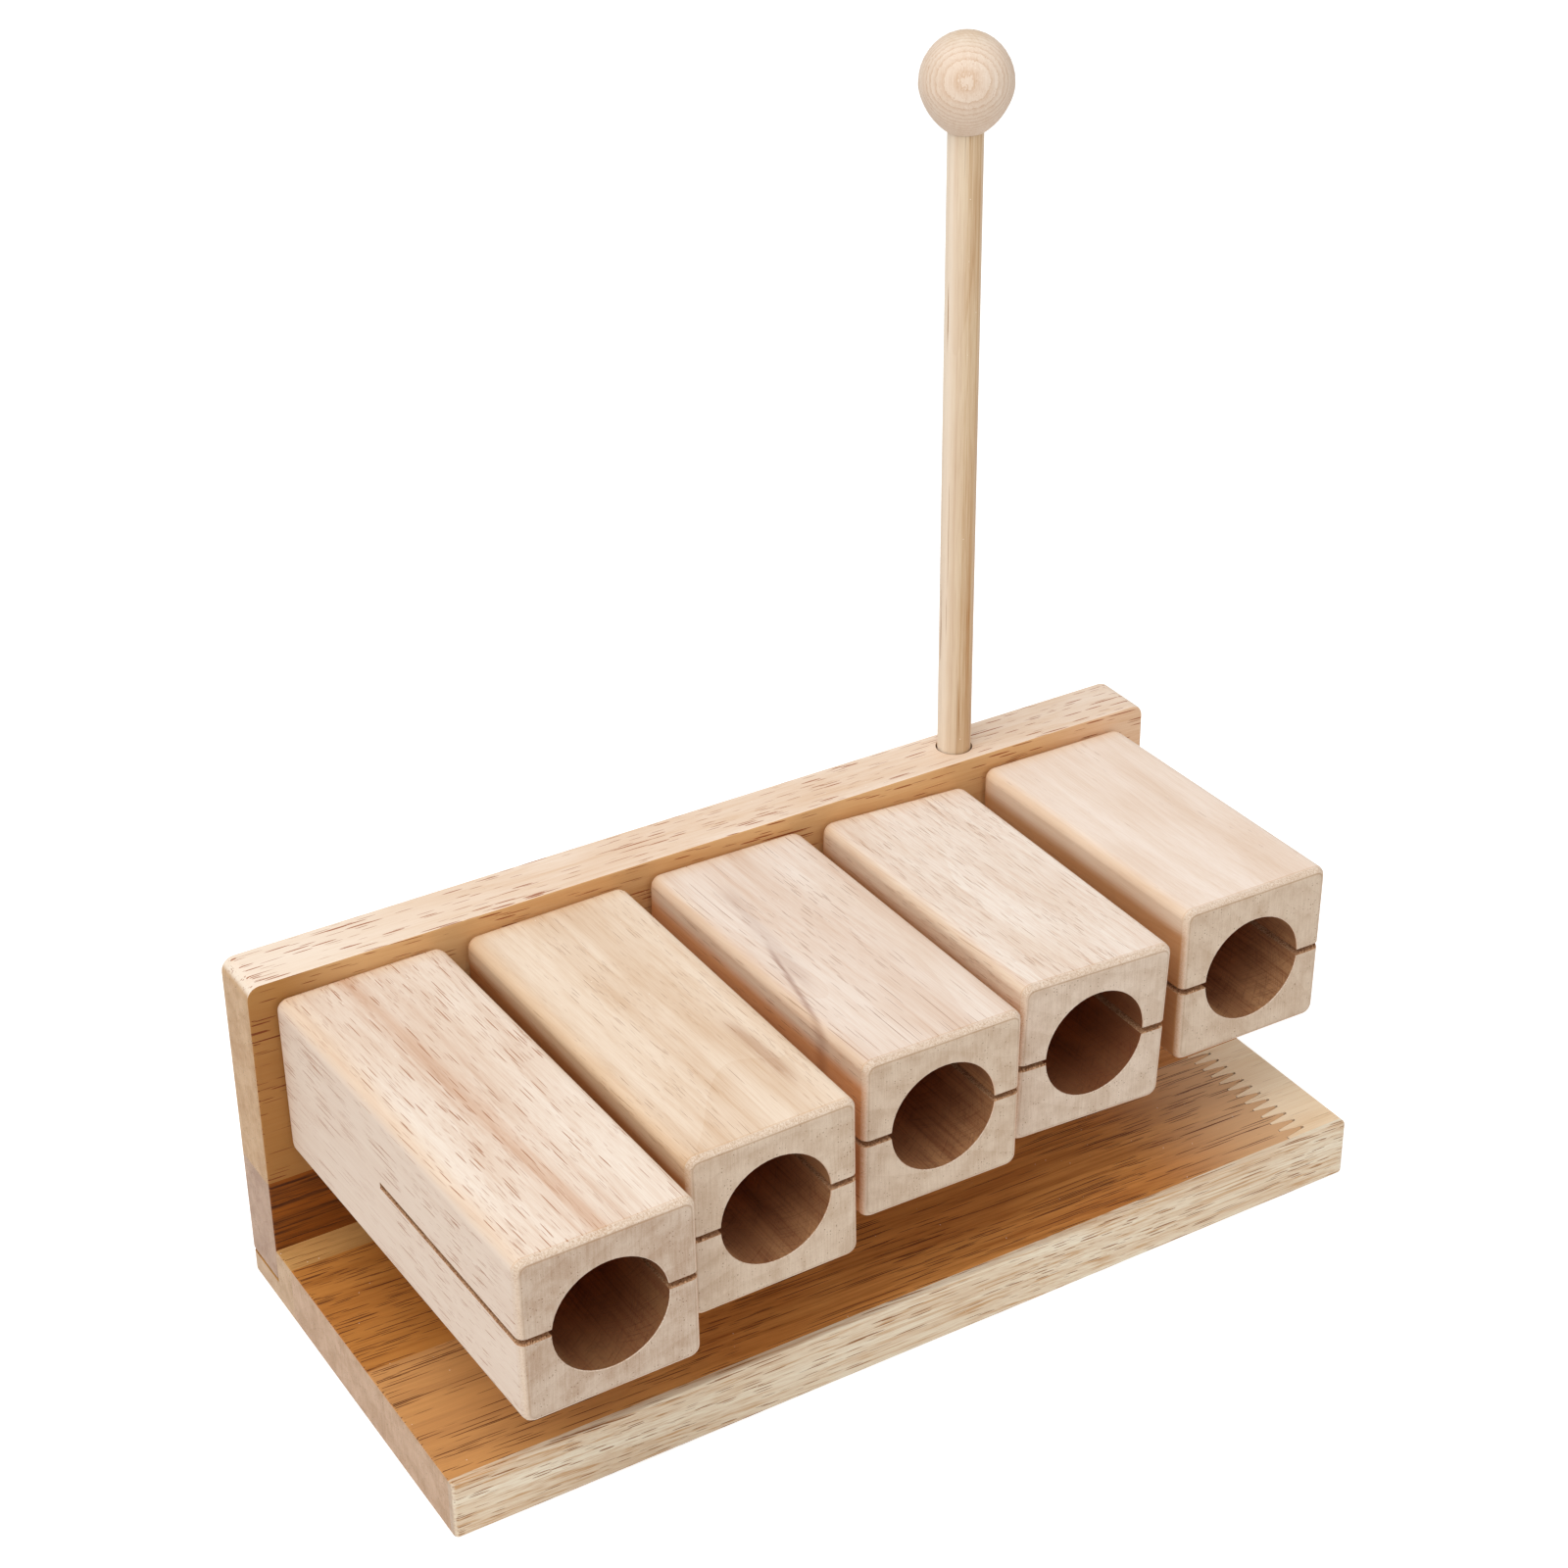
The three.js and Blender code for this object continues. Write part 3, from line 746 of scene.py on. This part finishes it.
def tidy_mesh(node, name):
    """A copy of a solid's mesh with shared corners and no lines across its flat faces."""
    work = bmesh.new()
    work.from_mesh(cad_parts[node].data)
    bmesh.ops.remove_doubles(work, verts=work.verts[:], dist=WELD)
    bmesh.ops.dissolve_limit(work, angle_limit=FLAT_ANGLE, verts=work.verts[:], edges=work.edges[:])
    mesh = bpy.data.meshes.new(name)
    work.to_mesh(mesh)
    work.free()
    for layer in [a.name for a in mesh.attributes if a.name == "custom_normal"]:
        mesh.attributes.remove(mesh.attributes[layer])
    mesh.shade_smooth()
    mesh.set_sharp_from_angle(angle=SMOOTH_ANGLE)
    return mesh


def place_piece(name, mesh, slot, body):
    """Puts a mesh in the scene, riding on a body. The slot is not used."""
    piece = bpy.data.objects.new(name, mesh)
    bpy.context.scene.collection.objects.link(piece)
    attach(piece, body)
    return piece


def add_piece(node, ending, slot, body, materials, choose=None):
    """Dresses a node: its copy stands for it, and has a material for each part of its surface."""
    name = f"{node}_{ending}"
    mesh = tidy_mesh(node, name)
    for material in materials:
        mesh.materials.append(material)
    if choose is not None:
        for face in mesh.polygons:
            face.material_index = choose(face)
    piece = place_piece(name, mesh, slot, body)
    normals = piece.modifiers.new("normals", "WEIGHTED_NORMAL")
    normals.keep_sharp = True
    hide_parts(node)
    return piece


def hull_check(node):
    """Tells whether a point lies on the outside of a block, and not in its bore or slit."""
    work = bmesh.new()
    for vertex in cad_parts[node].data.vertices:
        work.verts.new(vertex.co)
    bmesh.ops.remove_doubles(work, verts=work.verts[:], dist=WELD)
    result = bmesh.ops.convex_hull(work, input=work.verts[:])
    planes = []
    for item in result["geom"]:
        if isinstance(item, bmesh.types.BMFace):
            planes.append((item.normal.copy(), item.calc_center_median()))
    work.free()

    def outside(point):
        return max(normal.dot(point - middle) for normal, middle in planes) > -SKIN

    return outside


def bore_axis(node, outside):
    """The middle of a block's bore, in mm across and up."""
    inner = []
    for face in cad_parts[node].data.polygons:
        round_wall = abs(face.normal.y) < ROUND_WALL and abs(face.normal.z) < ALONG_AXIS
        if round_wall and not outside(face.center):
            inner.append((face.area, face.center.copy()))
    total = sum(area for area, centre in inner)
    axis_x = sum(area * centre.x for area, centre in inner) / total
    axis_z = sum(area * centre.z for area, centre in inner) / total
    return axis_x / MM, axis_z / MM


def block_parts(node, outside):
    """Tells the parts of a block's surface apart. The bore's arris counts as outside."""
    low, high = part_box(node)
    middle_z = (low.z + high.z) / 2

    def choose(face):
        arris = face.center.y < low.y + ARRIS_REACH and face.normal.y < -ARRIS_SLOPE
        if arris or outside(face.center):
            return OUTER_PART
        flat = abs(face.normal.z) > ALONG_AXIS or abs(face.normal.y) > ALONG_AXIS
        level = abs(face.center.z - middle_z) < SLIT_REACH
        if flat and level and face.center.y < high.y - HEEL_SPLIT:
            return SLIT_PART
        return BORE_PART

    return choose


def add_tuft(work, foot, run, inward, up, height):
    """One torn fibre: a thin spike on the saw cut's floor, leaning a little."""
    width = random.uniform(*FIBRE_HALF_WIDTH) * MM
    depth = random.uniform(*FIBRE_DEPTH) * MM
    lean = random.uniform(-FIBRE_LEAN, FIBRE_LEAN) * MM
    corners = [
        foot - run * width,
        foot + run * width,
        foot + run * width + inward * depth,
        foot - run * width + inward * depth,
    ]
    base = [work.verts.new(corner) for corner in corners]
    tip = work.verts.new(foot + inward * depth * 0.6 + run * lean + up * height)
    for index in range(4):
        work.faces.new((base[index], base[(index + 1) % 4], tip))
    work.faces.new(base[::-1])


def add_tufts(work, start, end, up):
    """Torn fibres along one edge of the saw cut, in clumps."""
    run = (end - start).normalized()
    inward = up.cross(run).normalized()
    length = (end - start).length
    walked = random.uniform(*FIRST_STEP) * MM
    clump = random.uniform(*FIRST_CLUMP)
    while walked < length:
        if random.random() < NEW_CLUMP_CHANCE:
            clump = random.uniform(*LATER_CLUMPS)
        if random.random() < LEAST_CHANCE + (1 - LEAST_CHANCE) * clump:
            foot = start + run * walked + inward * FIBRE_INSET * MM
            height = (FIBRE_HEIGHT + CLUMP_HEIGHT * clump * random.random()) * MM
            add_tuft(work, foot, run, inward, up, height)
        walked += random.uniform(*FIBRE_STEP) * MM


def add_fibres(block, node, outside, material):
    """Torn fibres along the lower lips of a block's saw cut, on its end and both its sides."""
    work = bmesh.new()
    mesh = block.data
    for face in mesh.polygons:
        if face.material_index == SLIT_PART and face.normal.z > ALONG_AXIS:
            corners = [mesh.vertices[index].co for index in face.vertices]
            for start, end in zip(corners, corners[1:] + corners[:1]):
                if outside((start + end) / 2):
                    add_tufts(work, start, end, face.normal)
    fibres = bpy.data.meshes.new(node + "_fibres")
    work.to_mesh(fibres)
    work.free()
    fibres.materials.append(material)
    place_piece(node + "_fibres", fibres, "block_wood", "stand")


def add_boards():
    """The staves of the base board and the back board."""
    for seed, (node, changes) in enumerate(BOARDS.items(), start=FIRST_BOARD_SEED):
        sawn = wood(node + "_wood", {**PLAIN, **changes}, seed)
        add_piece(node, "board", changes["slot"], "stand", [sawn])


def gap_tint(side, top, deepest_shade):
    """The painted shade for a block's side that faces another block to its left (-1) or right (1)."""

    def painted_shade_tint(tree, place, direction, tone):
        return gap_stain(tree, place, direction, tone, side, top, deepest_shade)

    return painted_shade_tint


def add_blocks():
    """The five blocks, each with its outer wood, its bore and its torn saw cut."""
    for index, changes in enumerate(BLOCKS):
        node = f"wood_block_{index + 1}"
        outside = hull_check(node)
        low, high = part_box(node)
        left, top, rear, mouth = low.x / MM, high.z / MM, high.y / MM, low.y / MM
        # The blocks' arrises are darker and more golden than their faces: painted shade against the key
        # light's highlight on the rounded edges
        kind = {**PLAIN, "edge_wear_and_shade": "e4c8aa", **changes, "grain": "Y", "mouth": True}
        # Painted shade on each block's top: darker towards its rear end, by the back board, and towards its
        # left edge, against the key light's highlight on the first block and as the shade between blocks on
        # the others
        rear_painted_shade = (1, rear - 8.0, rear - 1.0, "f0d6a6", 0.4, "MULTIPLY")
        # Painted shade on each side that faces a neighbouring block
        painted_shade_tints = []
        if index > 0:
            left_painted_shade = (0, left + 5.5, left + 1.0, "f0d6a6", 0.25, "MULTIPLY")
            painted_shade_tints.append(gap_tint(-1.0, top, kind["gap"]))
        else:
            left_painted_shade = (0, left + 9.0, left + 2.0, "f4dcbc", 0.4, "MULTIPLY")
        if index < len(BLOCKS) - 1:
            painted_shade_tints.append(gap_tint(1.0, top, kind["gap"]))
        kind["washes_and_painted_shade"] = (rear_painted_shade, left_painted_shade)
        kind["painted_shade_tints"] = painted_shade_tints
        outer = wood(node + "_wood", kind, index + FIRST_BLOCK_SEED)
        bore = bore_wood(node + "_bore", bore_axis(node, outside), mouth, kind["bore"], index * 5.0)
        torn = torn_wood(node + "_torn", index * 5.0)
        materials = [outer, bore, torn]
        block = add_piece(node, "body", "block_wood", "stand", materials, block_parts(node, outside))
        add_fibres(block, node, outside, torn)


def add_mallet():
    """The mallet's dowel, paler on its left and browned on its right by painted shade, and its ball."""
    low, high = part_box("mallet_stick")
    middle = (low + high) / 2 / MM
    # A paler wash over the dowel's middle and rear, and painted shade browning its right side
    stick_washes_and_painted_shade = (
        (1, middle.y - 4.0, middle.y - 1.0, "fff2e0", 0.6, "MIX"),
        (0, middle.x - 2.0, middle.x + 3.5, "f2dcbc", 0.6, "MULTIPLY"),
    )
    stick = wood("stick_wood", {**PLAIN, **STICK, "washes_and_painted_shade": stick_washes_and_painted_shade}, STICK_SEED)
    ball = wood("ball_wood", {**PLAIN, **BALL}, BALL_SEED)
    add_piece("mallet_stick", "dowel", "stick_wood", "mallet", [stick])
    add_piece("mallet_ball", "turned", "ball_wood", "mallet", [ball])


def add_screws():
    """The nine screws, all in one plated steel."""
    steel = zinc("zinc")
    for node in sorted(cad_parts):
        if "screw" in node:
            add_piece(node, "plated", "screw_steel", "stand", [steel])


# Camera, light and stage


def add_camera():
    """The photograph's camera, from its place, azimuth, elevation and roll."""
    azimuth, elevation, roll = (math.radians(angle) for angle in CAMERA_ANGLES)
    level = math.cos(elevation)
    back = Vector((math.sin(azimuth) * level, -math.cos(azimuth) * level, math.sin(elevation)))
    right = (-back).cross(Vector((0, 0, 1))).normalized()
    down = (-back).cross(right)
    x = math.cos(roll) * right + math.sin(roll) * down
    y = math.sin(roll) * right - math.cos(roll) * down
    data = bpy.data.cameras.new("camera")
    data.lens = CAMERA_LENS
    data.sensor_width = CAMERA_SENSOR
    camera = bpy.data.objects.new("camera", data)
    bpy.context.scene.collection.objects.link(camera)
    turn = Matrix((x, y, back)).transposed().to_4x4()
    camera.matrix_world = Matrix.Translation(Vector(CAMERA_PLACE)) @ turn
    bpy.context.scene.camera = camera


def seen_directly(tree):
    """1 where the camera, a reflection or glass looks straight at the stage, 0 for the light it gives."""
    rays = tree.node("ShaderNodeLightPath").outputs
    seen = tree.math("MAXIMUM", rays["Is Camera Ray"], rays["Is Glossy Ray"])
    return tree.math("MAXIMUM", seen, rays["Is Transmission Ray"])


def add_world():
    """An even white surround that lights at a plain level and is seen as white."""
    world = bpy.data.worlds.new("studio")
    bpy.context.scene.world = world
    tree = Tree(world)
    strength = tree.span(seen_directly(tree), 0.0, 1.0, WORLD_STRENGTH, 1.0)
    background = tree.node("ShaderNodeBackground", (1, 1, 1, 1), strength)
    output = tree.node("ShaderNodeOutputWorld")
    tree.links.new(background.outputs[0], output.inputs["Surface"])


def add_floor():
    """The floor, a hair above the base's underside, and clear where it is seen from below."""
    work = bmesh.new()
    corners = [(-1, -1), (1, -1), (1, 1), (-1, 1)]
    work.faces.new([work.verts.new((x * FLOOR_HALF, y * FLOOR_HALF, FLOOR_LIFT)) for x, y in corners])
    mesh = bpy.data.meshes.new("floor")
    work.to_mesh(mesh)
    work.free()
    floor = bpy.data.objects.new("floor", mesh)
    bpy.context.scene.collection.objects.link(floor)
    material = bpy.data.materials.new("floor")
    tree = Tree(material)
    plain = tree.node("ShaderNodeBsdfDiffuse", (FLOOR_GREY, FLOOR_GREY, FLOOR_GREY, 1))
    glow = tree.times(seen_directly(tree), FLOOR_GLOW)
    light = tree.node("ShaderNodeEmission", (1, 1, 1, 1), glow)
    both = tree.node("ShaderNodeAddShader", plain.outputs[0], light.outputs[0])
    clear = tree.node("ShaderNodeBsdfTransparent")
    below = tree.node("ShaderNodeNewGeometry").outputs["Backfacing"]
    shader = tree.node("ShaderNodeMixShader", below, both.outputs[0], clear.outputs[0])
    output = tree.node("ShaderNodeOutputMaterial")
    tree.links.new(shader.outputs[0], output.inputs["Surface"])
    mesh.materials.append(material)


def add_light(name, size, energy, place):
    """A soft square lamp that shines at the middle of the base board's underside."""
    data = bpy.data.lights.new(name, "AREA")
    data.size = size
    data.energy = energy
    light = bpy.data.objects.new(name, data)
    bpy.context.scene.collection.objects.link(light)
    light.location = place
    light.rotation_euler = (-Vector(place)).to_track_quat("-Z", "Y").to_euler()


# The scene

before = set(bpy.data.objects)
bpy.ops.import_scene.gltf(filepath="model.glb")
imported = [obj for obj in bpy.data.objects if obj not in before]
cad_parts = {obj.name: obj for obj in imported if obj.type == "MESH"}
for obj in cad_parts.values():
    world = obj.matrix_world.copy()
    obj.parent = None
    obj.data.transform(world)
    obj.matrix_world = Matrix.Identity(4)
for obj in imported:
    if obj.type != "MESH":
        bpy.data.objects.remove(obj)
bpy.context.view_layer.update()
random.seed(FIBRE_SEED)
add_camera()
add_world()
add_floor()
add_light("key", KEY_SIZE, KEY_ENERGY, KEY_PLACE)
add_light("fill", FILL_SIZE, FILL_ENERGY, FILL_PLACE)
add_boards()
add_blocks()
add_mallet()
add_screws()
bpy.context.scene.view_settings.view_transform = "Standard"
